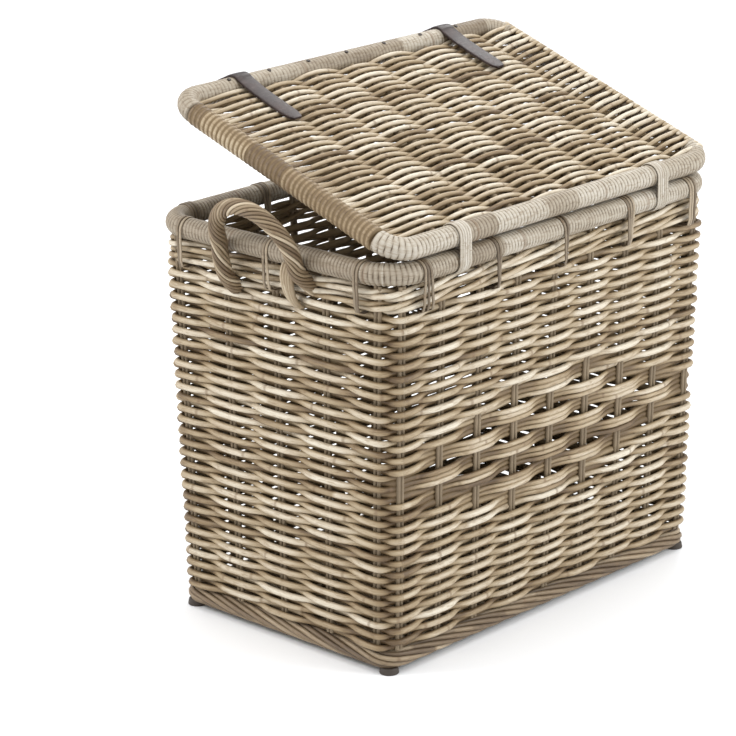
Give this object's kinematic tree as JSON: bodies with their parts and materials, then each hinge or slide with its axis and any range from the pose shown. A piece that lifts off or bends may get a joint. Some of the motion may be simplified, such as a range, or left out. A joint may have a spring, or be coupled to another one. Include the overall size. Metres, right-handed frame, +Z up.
{
  "type": "wicker log basket",
  "caption": "Tall oblong wicker log basket with a hinged woven lid, two rope-twist end handles, leather straps and a wrapped rim.",
  "frame": {"origin": "on the floor, under the middle of the basket's box at rest", "axes": "+X along the long side, -Y the front where the lid opens, +Y the hinge side, +Z up"},
  "size_m": [0.693, 0.4042, 0.653],
  "materials": {
    "weave": "matt split cane weave, sun-greyed",
    "stake": "round rattan stake, darker brown",
    "pole": "rattan pole, hidden under its wrapping",
    "wrapping": "flat cane wrapping, pale grey",
    "roll": "tight round cane wrapping",
    "binding": "dark split cane binding",
    "rope": "twisted cane rope",
    "border": "plaited cane border",
    "foot": "dark stained wood, worn",
    "leather": "dark brown leather with a soft sheen",
    "nail": "small dark nail heads"
  },
  "bodies": {
    "basket": {"foot_front_left": "foot", "foot_front_right": "foot", "foot_back_left": "foot", "foot_back_right": "foot", "foot_border": "border", "base_sticks": "stake", "base_weave": "weave", "side_weave": "weave", "stakes_front": "stake", "stakes_back": "stake", "stakes_left": "stake", "stakes_right": "stake", "wale_lower": "weave", "wale_upper": "weave", "rim_rail": "pole", "rim_wrap": "wrapping", "rim_bindings": "binding", "handle_left_bow": "stake", "handle_left_twist": "rope", "handle_right_bow": "stake", "handle_right_twist": "rope", "hinge_loop_left": "wrapping", "hinge_loop_right": "wrapping"},
    "lid": {"lid_frame": "pole", "lid_hinge_wrap": "wrapping", "lid_front_wrap": "wrapping", "lid_left_roll": "roll", "lid_right_roll": "roll", "lid_ribs": "stake", "lid_weave": "weave", "lid_rib_nails": "nail", "strap_left": "leather", "strap_right": "leather"}
  },
  "joints": [
    {"name": "lid_hinge", "type": "hinge", "parent": "basket", "child": "lid", "pos_m": [0, 0.187, 0.516], "axis": [-1, 0, 0], "range_deg": [-19.4, 155.6]}
  ]
}
